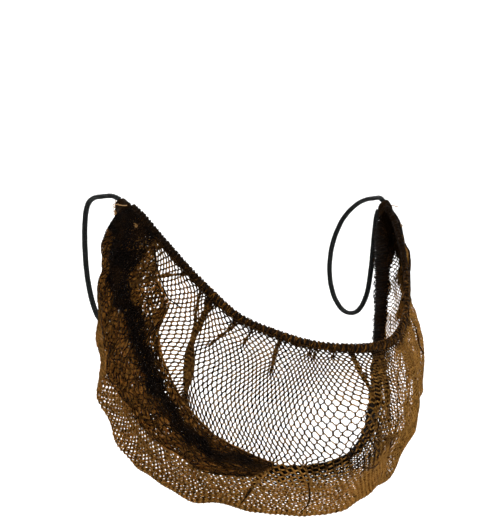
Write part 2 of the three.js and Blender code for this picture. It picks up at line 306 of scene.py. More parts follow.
# tuck: how many knit columns a pleat swallows where it is deepest; wide: half its own width, also
# in columns.
PLEATS = named_rows("at drift start end tuck wide lift", [
    ( 1.50, -0.20, 0.00, 0.60,  6.0, 1.4, 1.2),
    ( 2.60, -0.50, 0.00, 0.50,  6.0, 1.4, 1.3),
    ( 3.60, -0.40, 0.00, 0.55,  5.0, 1.2, 1.4),
    ( 4.30,  1.95, 0.00, 0.42,  9.0, 2.2, 1.4),
    ( 5.20,  1.20, 0.00, 0.50, 18.0, 4.0, 1.8),
    ( 6.30, -0.10, 0.00, 0.20,  6.0, 1.3, 1.4),
    ( 6.65,  0.10, 0.00, 0.11,  4.0, 1.0, 1.2),
    ( 7.25,  0.20, 0.00, 0.18,  6.0, 1.3, 1.5),
    ( 7.90,  0.00, 0.00, 0.05,  3.4, 1.0, 1.0),
    ( 8.40,  0.00, 0.00, 0.05,  3.4, 1.0, 1.0),
    ( 8.80,  0.80, 0.00, 0.44,  5.0, 1.1, 1.6),
    ( 9.60,  0.20, 0.02, 0.40,  9.0, 2.2, 1.4),
    (10.50, -0.30, 0.00, 0.64,  5.4, 1.2, 1.6),
    (11.60,  0.30, 0.00, 0.45,  5.0, 1.2, 1.5),
    (12.70, -0.30, 0.00, 0.50,  5.0, 1.2, 1.5),
    (14.00,  0.40, 0.00, 0.40,  6.0, 1.4, 1.4),
    (15.30,  0.40, 0.00, 0.50,  6.0, 1.4, 1.3),
    (16.50,  0.20, 0.00, 0.55,  6.0, 1.4, 1.2),
    ( 6.55,  0.50, 0.50, 0.68,  4.0, 1.0, 1.2),
    ( 7.95, -0.30, 0.46, 0.70,  4.4, 1.0, 1.3),
    ( 8.30,  0.30, 0.46, 0.64,  3.6, 1.0, 1.0),
    ( 9.85,  0.20, 0.42, 0.70,  4.4, 1.0, 1.2),
    (11.00, -0.30, 0.50, 0.80,  4.4, 1.1, 1.2),
    (12.20,  0.40, 0.50, 0.85,  4.4, 1.1, 1.2),
])
# The same in the other direction, in courses: the slack cheek folds over itself along the jaw.
CREASES = named_rows("at drift start end tuck wide lift", [
    (0.84, 0.00,  1.5,  7.8, 9.0, 2.6, 0.9),
    (0.40, 0.10,  9.3, 11.2, 8.0, 2.4, 0.8),
    (0.55, 0.00, 10.4, 17.0, 8.0, 2.6, 0.9),
    (0.84, 0.00, 10.2, 16.5, 8.0, 2.6, 0.9),
])
REACH = 4.0               # a pleat draws the net from that many times its own width
RIM_GATHERS = 30          # small random gathers at the upper edge
HEM_GATHERS = 44          # and at the jaw edge
GATHER_WIDE = 0.9         # half the width of one, in columns
RNG = np.random.default_rng(7)


def small_gathers():
    """Little tucks that the two edges pull into the net."""
    rows = []
    for at in np.linspace(0.5, LAST - 0.5, RIM_GATHERS) + RNG.uniform(-0.3, 0.3, RIM_GATHERS):
        rows.append({"at": at, "drift": RNG.uniform(-0.1, 0.1), "start": 0.0,
                     "end": RNG.uniform(0.03, 0.09), "tuck": RNG.uniform(1.8, 3.2),
                     "wide": GATHER_WIDE, "lift": 0.7})
    for at in np.linspace(0.4, LAST - 0.4, HEM_GATHERS) + RNG.uniform(-0.2, 0.2, HEM_GATHERS):
        rows.append({"at": at, "drift": RNG.uniform(-0.15, 0.15), "start": RNG.uniform(0.80, 0.93),
                     "end": 1.0, "tuck": RNG.uniform(1.8, 3.6), "wide": GATHER_WIDE, "lift": 0.8})
    return rows


def soft_noise(seed, down, across):
    """Table of smooth random values from -1 to 1 with that many lumps each way."""
    return np.random.default_rng(seed).uniform(-1, 1, (down + 2, across + 2))


def lumps(table, s, t):
    """Noise at sections s and shares t of the way across."""
    down = s / LAST * (table.shape[0] - 2)
    across = t * (table.shape[1] - 2)
    down = np.floor(down) + smooth(down % 1, 0, 1)
    across = np.floor(across) + smooth(across % 1, 0, 1)
    return sample(table, down, across)


TURN = 0.66               # share of the way across at which the bag turns back under the jaw
TURN_WIDTH = 0.16
SCALLOP_HEIGHT = 1.1      # wavy outline of the turn, mm
SCALLOPS_PER_SECTION = 0.9
RUFFLE_AT_TURN = 1.3      # uneven slack, mm, most at the turn
RUFFLE = 0.3
RIPPLE = 0.3
ruffle_noise = soft_noise(11, 46, 9)
ripple_noise = soft_noise(12, 110, 20)


def relief(s, t):
    """How far the net stands off its smooth form, in metres."""
    height = np.zeros_like(s)
    for fold in FOLDS:
        share = np.clip((t - fold["start"]) / (fold["end"] - fold["start"]), 0, 1)
        middle = fold["at"] + fold["drift"] * share
        across = (s - middle) / fold["width"]
        height += fold["lift"] * np.sqrt(np.sin(math.pi * share)) * np.exp(-across**2)
    from_turn = np.exp(-((t - TURN) / TURN_WIDTH) ** 2)
    from_ear = smooth(np.minimum(s, LAST - s), 0.6, 2.0)
    wave = np.sin(2 * math.pi * SCALLOPS_PER_SECTION * s + 0.8 * np.sin(1.7 * s))
    height += SCALLOP_HEIGHT * from_ear * from_turn * wave
    height += from_ear * (RUFFLE_AT_TURN * from_turn + RUFFLE) * lumps(ruffle_noise, s, t)
    height += RIPPLE * from_ear * lumps(ripple_noise, s, t)
    return height * MM


# ---- how the knit lies on that form ----
# The same number of columns runs through every part of the bag. Where an edge is shorter, pleats
# swallow some of them; over the chin the cells are stretched wide, and near the ears and under
# the jaw the courses crowd together.
COLUMNS = 186
COURSES = 76
MAP_STEPS = 10            # steps of the map for one column
COURSE_STEPS = 8          # steps of the map for one course
CHIN_STRETCH = {"at": 8.8, "across": 0.33, "reach": 0.66, "reach_across": 0.19, "more": 1.35}
# By share of the way across: how close the columns lie on the left cheek, and how wide the courses
# are spaced over the chin and beside the ears.
FAR_CROWDING = {0.0: 1.0, 0.2: 0.90, 0.45: 0.80, 0.70: 0.82, 1.0: 1.0}
SPACING_CHIN = {0.0: 1.6, 0.05: 1.7, 0.12: 2.0, 0.26: 3.0, 0.42: 2.6, 0.55: 2.0, 0.66: 1.7,
                0.82: 1.7, 1.0: 1.0}
SPACING_EAR = {0.0: 1.6, 0.10: 2.3, 0.30: 2.2, 0.42: 1.3, 0.55: 0.9, 0.66: 1.4, 0.75: 1.2,
               1.0: 0.55}


def read(places, at):
    """Value between the entries of a table of places and values."""
    return np.interp(at, list(places), list(places.values()))


def chin_stretch(s, t):
    off = ((s - CHIN_STRETCH["at"]) / CHIN_STRETCH["reach"]) ** 2
    off = off + ((t - CHIN_STRETCH["across"]) / CHIN_STRETCH["reach_across"]) ** 2
    return 1 + CHIN_STRETCH["more"] * np.exp(-off)


def tucked(threads, tucks):
    """Where threads come to lie, and how high, once folds have swallowed some of them."""
    slope = np.ones_like(threads)
    lift = np.zeros_like(threads)
    for middle, row, depth in tucks:
        reach = REACH * row["wide"]
        off = (threads - middle) / row["wide"]
        eased = (threads - middle) / reach
        swallowed = row["tuck"] * depth / math.sqrt(math.pi)
        slope += swallowed * (np.exp(-eased**2) / reach - np.exp(-off**2) / row["wide"])
        standing = np.exp(-(np.minimum(off + 1, 0) / 3.5) ** 2) * (1 - smooth(off, -1, 1))
        lift = np.maximum(lift, row["lift"] * depth * standing)
    walked = np.concatenate([[0], np.cumsum((slope[1:] + slope[:-1]) / 2)])
    return walked / walked[-1], lift


def active(rows, at, share, whole):
    """The folds that run past a place, with their middle thread and how deep they are there."""
    found = []
    for row in rows:
        if row["start"] <= at <= row["end"]:
            done = (at - row["start"]) / (row["end"] - row["start"])
            fade_in = 1 if row["start"] == 0 else smooth(done, 0, 0.35)
            fade_out = 1 if row["end"] == 1 else 1 - smooth(done, 0.45, 1)
            middle = np.interp(row["at"] + row["drift"] * done, whole, share)
            found.append((middle, row, fade_in * fade_out))
    return found


def columns_map():
    """Section number and lift of every column at each grid step across the net."""
    across = np.linspace(0, 1, CROSS_STEPS + 1)
    column = np.linspace(0, COLUMNS, COLUMNS * MAP_STEPS + 1)
    places = np.zeros((len(across), len(column)))
    lifts = np.zeros_like(places)
    rows = PLEATS + small_gathers()
    middles = (stations[1:] + stations[:-1]) / 2
    for j, t in enumerate(across):
        steps = np.linalg.norm(np.diff(net_grid[:, j], axis=0), axis=1)
        crowding = read(FAR_CROWDING, t)
        width = chin_stretch(middles, t) * (1 - (1 - crowding) * smooth(middles, 8.8, 10.5))
        share = np.concatenate([[0], np.cumsum(steps / width)])
        share /= share[-1]
        walked, lifts[j] = tucked(column, active(rows, t, COLUMNS * share, stations))
        places[j] = np.interp(walked, share, stations)
    return places, lifts * MM


def courses_map():
    """Share of the way across and lift of every course at each station."""
    across = np.linspace(0, 1, CROSS_STEPS + 1)
    middles = (across[1:] + across[:-1]) / 2
    course = np.linspace(0, COURSES, COURSES * COURSE_STEPS + 1)
    places = np.zeros((len(stations), len(course)))
    lifts = np.zeros_like(places)
    chin = read(SPACING_CHIN, middles)
    ear = read(SPACING_EAR, middles)
    for i, s in enumerate(stations):
        by_ear = 1 - smooth(min(s, LAST - s), 2.0, 6.5)
        spacing = chin * (1 - by_ear) + ear * by_ear
        spacing = spacing * (1 + 0.4 * (chin_stretch(s, middles) - 1))
        share = np.concatenate([[0], np.cumsum(1 / spacing)])
        share /= share[-1]
        walked, lifts[i] = tucked(course, active(CREASES, s, COURSES * share, across))
        places[i] = np.interp(walked, share, across)
    return places, lifts * MM


column_places, column_lifts = columns_map()
course_places, course_lifts = courses_map()
COLUMN_SLACK = 0.10       # how far the yarn wanders from its place, in columns
COURSE_SLACK = 0.12       # and in courses
slack_noise = soft_noise(21, 90, 30)
drift_noise = soft_noise(22, 90, 30)


def knit_place(column, course):
    """Section number, share across and lift of a point of the knit."""
    share = course / COURSES
    for _ in range(3):
        s = sample(column_places, share * CROSS_STEPS, column * MAP_STEPS)
        share = sample(course_places, s * SECTION_STEPS, course * COURSE_STEPS)
    lift = sample(column_lifts, share * CROSS_STEPS, column * MAP_STEPS)
    lift = lift + sample(course_lifts, s * SECTION_STEPS, course * COURSE_STEPS)
    return s, share, lift


def off_net(s, t, height):
    """A point that stands off the net's smooth form, in metres."""
    surface = sample(net_grid, s * SECTION_STEPS, t * CROSS_STEPS)
    outward = unit(sample(net_outward, s * SECTION_STEPS, t * CROSS_STEPS))
    return surface + outward * height[..., None]


def knit_point(column, course):
    """Where a point of the knit lies, in metres."""
    s, share, lift = knit_place(column, course)
    loose_column = column + COLUMN_SLACK * lumps(slack_noise, s, share)
    loose_course = course + COURSE_SLACK * lumps(drift_noise, s, share)
    s, share, lift = knit_place(loose_column, loose_course)
    return off_net(s, share, relief(s, share) + lift)


# ---- the knit ----
# Fine dark brown nylon, warp knitted into a honeycomb: zigzag courses of single yarn, joined by
# short upright legs where two courses are chained together, which look thicker and darker.
ARC_RADIUS = 0.38 * MM
LEG_RADIUS = 0.52 * MM
BULK = 0.10               # relaxed yarn is that much thicker than where the chin stretches it
ZIG = 0.18                # half the height of a zigzag, in courses
FLAT = 0.15               # half the flat top of a zigzag, in columns
YARN_SIDES = 3
PATCHY = 0.45             # how much the dye varies from patch to patch, in tone
SMOOTHEST = 0.42          # roughness between fibres
ROUGHEST = 0.68           # and on them
FIBRE_DEPTH = 0.04 * MM
CLOUDED = 0.12            # yarn up to this tone lets no light through
CLEAREST = 0.62           # and from this one on the most
ARC_TONE = 0.44
LEG_TONE = 0.24
YARN_UNEVEN = 0.12        # share by which the yarn's thickness varies
TONE_UNEVEN = 0.14
TUCKED_PAINTED_LIGHT = 0.14        # painted light: net inside a pleat is so much lighter
BUNCHED_PAINTED_SHADE = 0.92       # and bunched net so much darker, as a share: painted shade
FAR_PAINTED_LIGHT = 0.21           # the left cheek is lighter, as painted light, and its yarn thinner
FAR_THINNER = 0.42
FAR_FROM = (9.4, 10.6)    # sections over which it begins
FAR_TO = (15.0, 16.5)     # and ends
BELOW_PAINTED_LIGHT = 0.25         # the net under its turn is lighter, as painted light
BELOW_PAINTED_LIGHT_CHIN = 0.10    # and more so from the chin on
BELOW_THICKER = 0.16      # its yarn is thicker beside the right cheek
BELOW_THINNER_CHIN = 0.26   # and from the chin on that much less so
EAR_OPENS = (1.2, 4.2)    # sections from the ear over which the bunched net opens out
EAR_REACHES = 0.75        # share of the way across at which it reaches furthest
EAR_POINTED = 2.2         # sections that it loses over a whole width from there
JAW_CLOSES = (0.86, 0.99)   # shares of the way across over which it closes at the jaw edge
RIM_OPENS = (0.005, 0.05)   # and opens from the upper edge
RIM_BUNCHED = 0.7
NET_PARTS = [
    {"name": "net_right_cheek", "first": 0, "last": 62},
    {"name": "net_chin", "first": 62, "last": 124},
    {"name": "net_left_cheek", "first": 124, "last": 186},
]


def socket(tree, name, kind, way="INPUT", value=None):
    made = tree.interface.new_socket(name=name, in_out=way, socket_type=kind)
    if value is not None:
        made.default_value = value
    return made


def add(tree, kind, inputs=None, **settings):
    """A new node of a tree, with its settings and the plain values of its inputs."""
    made = tree.nodes.new(kind)
    for setting, value in settings.items():
        setattr(made, setting, value)
    for name, value in (inputs or {}).items():
        made.inputs[name].default_value = value
    return made


def wire(tree, *links):
    """Links of a tree: from a node and its output to a node and its input."""
    for start, output, end, entry in links:
        tree.links.new(start.outputs[output], end.inputs[entry])


def strand_tree():
    """Turns paths of bare edges into round yarn, as thick as each point's radius says."""
    tree = bpy.data.node_groups.new("yarn_from_paths", "GeometryNodeTree")
    socket(tree, "Paths", "NodeSocketGeometry")
    socket(tree, "Sides", "NodeSocketInt", value=4)
    socket(tree, "Thickness", "NodeSocketFloat", value=1.0)
    socket(tree, "Yarn", "NodeSocketMaterial")
    socket(tree, "Strands", "NodeSocketGeometry", "OUTPUT")
    given = add(tree, "NodeGroupInput")
    curves = add(tree, "GeometryNodeMeshToCurve")
    ring = add(tree, "GeometryNodeCurvePrimitiveCircle", {"Radius": 1.0})
    radius = add(tree, "GeometryNodeInputNamedAttribute", {"Name": "radius"})
    scaled = add(tree, "ShaderNodeMath", operation="MULTIPLY")
    tubes = add(tree, "GeometryNodeCurveToMesh", {"Fill Caps": True})
    shade = add(tree, "GeometryNodeSetShadeSmooth")
    real = add(tree, "GeometryNodeRealizeInstances")
    finish = add(tree, "GeometryNodeSetMaterial")
    result = add(tree, "NodeGroupOutput")
    wire(tree,
         (given, "Paths", curves, "Mesh"),
         (given, "Sides", ring, "Resolution"),
         (radius, "Attribute", scaled, 0),
         (given, "Thickness", scaled, 1),
         (curves, "Curve", tubes, "Curve"),
         (ring, "Curve", tubes, "Profile Curve"),
         (scaled, "Value", tubes, "Scale"),
         (tubes, "Mesh", shade, "Geometry"),
         (shade, "Geometry", real, "Geometry"),
         (real, "Geometry", finish, "Geometry"),
         (given, "Yarn", finish, "Material"),
         (finish, "Geometry", result, "Strands"))
    return tree


YARN_TREE = strand_tree()


def bare_paths(name, blocks):
    """Mesh of edges only; each block holds paths of equal length, with radius and tone."""
    points, edges, radii, tones = [], [], [], []
    start = 0
    for place, radius, tone in blocks:
        paths, count = place.shape[:2]
        index = start + np.arange(paths * count).reshape(paths, count)
        edges.append(np.stack([index[:, :-1], index[:, 1:]], axis=-1).reshape(-1, 2))
        points.append(place.reshape(-1, 3))
        radii.append(np.broadcast_to(radius, (paths, count)).reshape(-1))
        tones.append(np.broadcast_to(tone, (paths, count)).reshape(-1))
        start += paths * count
    points, edges = np.concatenate(points), np.concatenate(edges)
    mesh = bpy.data.meshes.new(name)
    mesh.vertices.add(len(points))
    mesh.edges.add(len(edges))
    mesh.vertices.foreach_set("co", points.astype(np.float32).ravel())
    mesh.edges.foreach_set("vertices", edges.astype(np.int32).ravel())
    for attribute, values in (("radius", radii), ("tone", tones)):
        data = mesh.attributes.new(attribute, "FLOAT", "POINT").data
        data.foreach_set("value", np.concatenate(values).astype(np.float32))
    return mesh


def plain_mesh(piece, tree, values):
    """Runs a geometry tree on a piece and keeps its result as the piece's own mesh."""
    modifier = piece.modifiers.new(tree.name, "NODES")
    modifier.node_group = tree
    for item in tree.interface.items_tree:
        if item.item_type == "SOCKET" and item.in_out == "INPUT" and item.name in values:
            modifier[item.identifier] = values[item.name]
    scene.collection.objects.link(piece)
    bpy.context.view_layer.update()
    evaluated = piece.evaluated_get(bpy.context.evaluated_depsgraph_get())
    made = bpy.data.meshes.new_from_object(evaluated)
    piece.modifiers.clear()
    piece.data = made
    made.name = piece.name
    return piece


def strands(name, blocks, material):
    """A piece of yarn along the paths of its blocks."""
    piece = bpy.data.objects.new(name, bare_paths(name, blocks))
    return plain_mesh(piece, YARN_TREE, {"Sides": YARN_SIDES, "Thickness": 1.0, "Yarn": material})


def yarn_look():
    """Colour, roughness and fibre height of dyed yarn, from its tone and its fibres."""
    tree = bpy.data.node_groups.new("dyed_yarn", "ShaderNodeTree")
    socket(tree, "Deep", "NodeSocketColor", value=(0.01, 0.005, 0.002, 1))
    socket(tree, "Middle", "NodeSocketColor", value=(0.06, 0.03, 0.01, 1))
    socket(tree, "Bright", "NodeSocketColor", value=(0.15, 0.07, 0.02, 1))
    socket(tree, "Patches", "NodeSocketFloat", value=120.0)
    socket(tree, "Fibres", "NodeSocketFloat", value=5000.0)
    socket(tree, "Color", "NodeSocketColor", "OUTPUT")
    socket(tree, "Roughness", "NodeSocketFloat", "OUTPUT")
    socket(tree, "Height", "NodeSocketFloat", "OUTPUT")
    given = add(tree, "NodeGroupInput")
    result = add(tree, "NodeGroupOutput")
    place = add(tree, "ShaderNodeTexCoord")
    tone = add(tree, "ShaderNodeAttribute", attribute_name="tone")
    patches = add(tree, "ShaderNodeTexNoise", {"Detail": 3})
    fibres = add(tree, "ShaderNodeTexNoise", {"Detail": 2})
    centred = add(tree, "ShaderNodeMath", {1: 0.5}, operation="SUBTRACT")
    blend = add(tree, "ShaderNodeMath", {1: PATCHY}, operation="MULTIPLY_ADD")
    low = add(tree, "ShaderNodeMapRange", {"From Max": 0.5})
    high = add(tree, "ShaderNodeMapRange", {"From Min": 0.5})
    lower = add(tree, "ShaderNodeMix", data_type="RGBA")
    upper = add(tree, "ShaderNodeMix", data_type="RGBA")
    rough = add(tree, "ShaderNodeMapRange", {"To Min": SMOOTHEST, "To Max": ROUGHEST})
    wire(tree,
         (place, "Object", patches, "Vector"),
         (place, "Object", fibres, "Vector"),
         (given, "Patches", patches, "Scale"),
         (given, "Fibres", fibres, "Scale"),
         (patches, "Fac", centred, 0),
         (centred, "Value", blend, 0),
         (tone, "Fac", blend, 2),
         (blend, "Value", low, "Value"),
         (blend, "Value", high, "Value"),
         (low, "Result", lower, "Factor"),
         (given, "Deep", lower, "A"),
         (given, "Middle", lower, "B"),
         (high, "Result", upper, "Factor"),
         (lower, "Result", upper, "A"),
         (given, "Bright", upper, "B"),
         (upper, "Result", result, "Color"),
         (fibres, "Fac", rough, "Value"),
         (rough, "Result", result, "Roughness"),
         (fibres, "Fac", result, "Height"))
    return tree


DYED_YARN = yarn_look()


def yarn_material(name, deep, middle, bright, gloss, glow=0.0, through=(0.84, 0.585, 0.265),
                  patches=120):
    """Dyed yarn; glow is the share of light that fine nylon lets through, in the colour through."""
    material = bpy.data.materials.new(name)
    material.use_nodes = True
    tree = material.node_tree
    shader = tree.nodes["Principled BSDF"]
    shader.inputs["Specular IOR Level"].default_value = gloss
    look = add(tree, "ShaderNodeGroup", node_tree=DYED_YARN)
    for label, colour in (("Deep", deep), ("Middle", middle), ("Bright", bright)):
        look.inputs[label].default_value = (*colour, 1)
    look.inputs["Patches"].default_value = patches
    raised = add(tree, "ShaderNodeBump", {"Distance": FIBRE_DEPTH})
    wire(tree,
         (look, "Color", shader, "Base Color"),
         (look, "Roughness", shader, "Roughness"),
         (look, "Height", raised, "Height"),
         (raised, "Normal", shader, "Normal"))
    if glow > 0:
        lit_through = add(tree, "ShaderNodeBsdfTranslucent", {"Color": (*through, 1)})
        tone = add(tree, "ShaderNodeAttribute", attribute_name="tone")
        clear = add(tree, "ShaderNodeMapRange",
                    {"From Min": CLOUDED, "From Max": CLEAREST, "To Max": glow})
        shares = add(tree, "ShaderNodeMixShader")
        wire(tree,
             (tone, "Fac", clear, "Value"),
             (clear, "Result", shares, "Fac"),
             (shader, "BSDF", shares, 1),
             (lit_through, "BSDF", shares, 2),
             (shares, "Shader", tree.nodes["Material Output"], "Surface"))
    return material


DYE = {"deep": (0.0018, 0.0007, 0.0001), "middle": (0.026, 0.0105, 0.0014)}
net_yarn = yarn_material("brown_net_yarn", **DYE, bright=(0.26, 0.142, 0.041), gloss=0.03, glow=0.6)


def zigzag_paths(first, last, courses):
    """Every course between two columns, as one path each."""
    offsets = np.array((-FLAT, FLAT, 0.5 - FLAT, 0.5 + FLAT))
    down = np.array((1, 1, -1, -1)) * ZIG
    column = (np.arange(first, last)[:, None] + offsets).reshape(-1)
    column = np.append(column, last - FLAT)
    swing = np.append(np.tile(down, last - first), ZIG)
    rows = np.arange(courses + 1)[:, None]
    course = rows + np.where(rows % 2, -1, 1) * swing
    column = column + RNG.uniform(-0.035, 0.035, course.shape)
    course = course + RNG.uniform(-0.04, 0.04, course.shape)
    return column, np.clip(course, 0, courses)


def leg_paths(first, last, courses):
    """The upright legs that join each course to the next one."""
    rows = np.arange(courses)[:, None]
    column = np.arange(first, last)[None, :] + np.where(rows % 2, 0.5, 0.0)
    column = np.repeat(column.reshape(-1, 1), 2, axis=1)
    column = column + RNG.uniform(-0.03, 0.03, column.shape)
    course = np.repeat(rows, last - first).reshape(-1, 1) + np.array((ZIG * 0.7, 1 - ZIG * 0.7))
    return column, course


def bunched(s, t):
    """How closely the net is bunched up: 1 beside the ears and at the jaw edge, 0 on the cheeks."""
    from_ear = np.minimum(s, LAST - s)
    by_ear = 1 - smooth(from_ear + EAR_POINTED * np.abs(t - EAR_REACHES), *EAR_OPENS)
    by_jaw = smooth(t, *JAW_CLOSES)
    by_rim = RIM_BUNCHED * (1 - smooth(t, *RIM_OPENS))
    return np.maximum(np.maximum(by_ear, by_jaw), by_rim)


def knit_blocks(first, last):
    """Blocks of yarn between two columns, from the upper edge to the jaw edge."""
    blocks = []
    for paths, radius, tone in ((zigzag_paths, ARC_RADIUS, ARC_TONE),
                                (leg_paths, LEG_RADIUS, LEG_TONE)):
        column, course = paths(first, last, COURSES)
        s, t, lift = knit_place(column, course)
        far = smooth(s, *FAR_FROM) * (1 - smooth(s, *FAR_TO))
        # painted light: the left cheek, the net under its turn and the pleats are made lighter
        below_painted_light = BELOW_PAINTED_LIGHT + BELOW_PAINTED_LIGHT_CHIN * smooth(s, 7.5, 9.0)
        lit = FAR_PAINTED_LIGHT * far + below_painted_light * smooth(t, 0.46, 0.60) * (1 - far)
        shade = (tone + lit + TUCKED_PAINTED_LIGHT * np.clip(lift / MM, 0, 1)
                 + RNG.normal(0, TONE_UNEVEN, column.shape))
        relaxed = 1 - smooth(chin_stretch(s, t), 1.0, 1.6)
        uneven = 1 + RNG.uniform(-YARN_UNEVEN, YARN_UNEVEN, column.shape)
        below = smooth(t, 0.52, 0.70) * (1 - far)
        thicker = BELOW_THICKER - BELOW_THINNER_CHIN * smooth(s, 7.0, 8.6)
        thick = (radius * (1 + BULK * relaxed) * uneven
                 * (1 - FAR_THINNER * far) * (1 + thicker * below))
        # painted shade where the net is bunched
        blocks.append((knit_point(column, course), thick, shade * (1 - BUNCHED_PAINTED_SHADE * bunched(s, t))))
    return blocks


for part in NET_PARTS:
    net = strands(part["name"], knit_blocks(part["first"], part["last"]), net_yarn)
    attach(net, "root")
    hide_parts("net_pouch")


# ---- the net folded over beside the ears ----
# In front of each ear and along the jaw the slack of the bag lies folded up over itself. There the
# net is three layers deep, and its upper fold shows as a fine dark line across the cheek.
FLAP_FIRST = 0.1          # sections between which the flap lies
FLAP_LAST = 7.9
LEFT_FLAP_LAST = 4.6      # the left one is shorter, counted from the left ear
# Upper and lower edge of the flap: section number and share of the way across the net.
FLAP_TOP = {0.0: 0.0, 2.2: 0.0, 2.75: 0.09, 3.25: 0.13, 3.75: 0.14, 4.2: 0.16, 4.55: 0.20,
            4.75: 0.27, 5.25: 0.33, 5.65: 0.36, 6.2: 0.40, 7.0: 0.45, 7.9: 0.50}
FLAP_FOOT = {0.0: 0.95, 1.0: 0.70, 2.0: 0.64, 4.2: 0.62, 5.4: 0.58, 7.0: 0.60, 7.7: 0.57,
             7.9: 0.51}
# Where the layers lie pressed together and let no light through: painted shade, near black.
PRESSED_SHADE_BAND = named_rows("section upper lower", [
    (0.0, -0.20, 0.95),
    (1.2, -0.20, 0.48),
    (2.2,  0.02, 0.51),
    (2.7,  0.19, 0.52),
    (3.0,  0.33, 0.51),
    (3.6,  0.33, 0.45),
    (4.5,  0.31, 0.41),
    (5.2,  0.35, 0.45),
    (6.0,  0.42, 0.48),
    (6.6,  0.46, 0.52),
    (7.2,  0.49, 0.54),
    (7.9,  0.50, 0.51),
])
FLAP_COLUMNS = 62
FLAP_COURSES = 22
# From the outside in: lift in millimetres off the net; thick is a share of the net's own yarn.
# Each layer's tone is painted light and shade: the outer layer dark, the inner ones light and uneven,
# as painted glints.
FLAP_LAYERS = [
    {"lift": 1.6, "tone": 0.24, "uneven": 0.14, "thick": 0.80},
    {"lift": 1.0, "tone": 0.92, "uneven": 0.50, "thick": 1.00},
    {"lift": 0.4, "tone": 0.80, "uneven": 0.50, "thick": 1.00},
]
FOLD_LINE = [(2.5, 0.05), (2.75, 0.08), (3.25, 0.12), (3.75, 0.13), (4.2, 0.15), (4.7, 0.12)]
FOLD_LINE_RADIUS = 0.36 * MM
FOLD_LINE_LIFT = 1.9      # mm
FOLD_LINE_STEPS = 40
LAYER_SHIFT = 0.17        # how far the unevenness moves from layer to layer, across
FLAP_SLACK = 0.012        # unevenness along the flap, as a share of its length
FLAP_DRIFT = 0.05         # and across it
FLAP_CONTRAST = 0.06      # arcs lighter and legs darker than the layer's tone
PRESSED_PAINTED_SHADE = 0.97       # painted shade: share of the tone lost where the layers are pressed
flap_drift = soft_noise(31, 40, 14)
flap_slack = soft_noise(32, 40, 14)


def pressed_shade(s, t):
    """Painted shade: 1 where the folded layers lie pressed together, 0 where they stand loose."""
    where, upper, lower = ([row[key] for row in PRESSED_SHADE_BAND] for key in ("section", "upper", "lower"))
    upper = np.interp(s, where, upper)
    lower = np.interp(s, where, lower)
    place = t + 0.02 * lumps(ripple_noise, s, t)
    inside = smooth(place, upper - 0.01, upper + 0.02)
    return inside * (1 - smooth(place, lower - 0.02, lower + 0.03))


def flap_point(s, t, lift, mirrored=False):
    s = LAST - s if mirrored else s
    return off_net(s, t, relief(s, t) + lift * MM)


def flap_blocks(mirrored, last):
    """Blocks of yarn for every layer of a flap and for the dark line of its upper fold."""
    blocks = []
    columns = round(FLAP_COLUMNS * last / FLAP_LAST)
    for number, layer in enumerate(FLAP_LAYERS):
        for paths, radius, lighter in ((zigzag_paths, ARC_RADIUS, FLAP_CONTRAST),
                                       (leg_paths, LEG_RADIUS, -FLAP_CONTRAST)):
            column, course = paths(0, columns, FLAP_COURSES)
            away = column / FLAP_COLUMNS
            up = course / FLAP_COURSES
            across = np.abs(up - LAYER_SHIFT * number)
            away = away + FLAP_SLACK * lumps(flap_slack, LAST * away, across)
            up = np.clip(up + FLAP_DRIFT * lumps(flap_drift, LAST * away, across), 0, 1)
            s = FLAP_FIRST + (FLAP_LAST - FLAP_FIRST) * np.clip(away, 0, 1)
            foot = read(FLAP_FOOT, s)
            t = foot + (read(FLAP_TOP, s) - foot) * up
            # painted light and shade of the layer, with painted glints where it is uneven
            shade = layer["tone"] + lighter + RNG.normal(0, layer["uneven"], column.shape)
            # painted shade where the folded layers are pressed
            shade = shade * (1 - PRESSED_PAINTED_SHADE * pressed_shade(s, t))
            blocks.append((flap_point(s, t, layer["lift"], mirrored), radius * layer["thick"], shade))
    line = through(np.array(FOLD_LINE), np.linspace(0, len(FOLD_LINE) - 1, FOLD_LINE_STEPS))
    points = flap_point(line[:, 0], line[:, 1], FOLD_LINE_LIFT, mirrored)
    blocks.append((points[None], FOLD_LINE_RADIUS, 0.1))
    return blocks


# The same yarn, redder where the light has come through several layers of it.
folded_yarn = yarn_material("brown_net_yarn_folded", **DYE, bright=(0.275, 0.135, 0.032),
                            gloss=0.03, glow=0.6, through=(0.88, 0.56, 0.22))
for name, mirrored, last in (("net_fold_right", False, FLAP_LAST),
                             ("net_fold_left", True, LEFT_FLAP_LAST)):
    fold = strands(name, flap_blocks(mirrored, last), folded_yarn)
    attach(fold, "root")
    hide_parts("net_pouch")


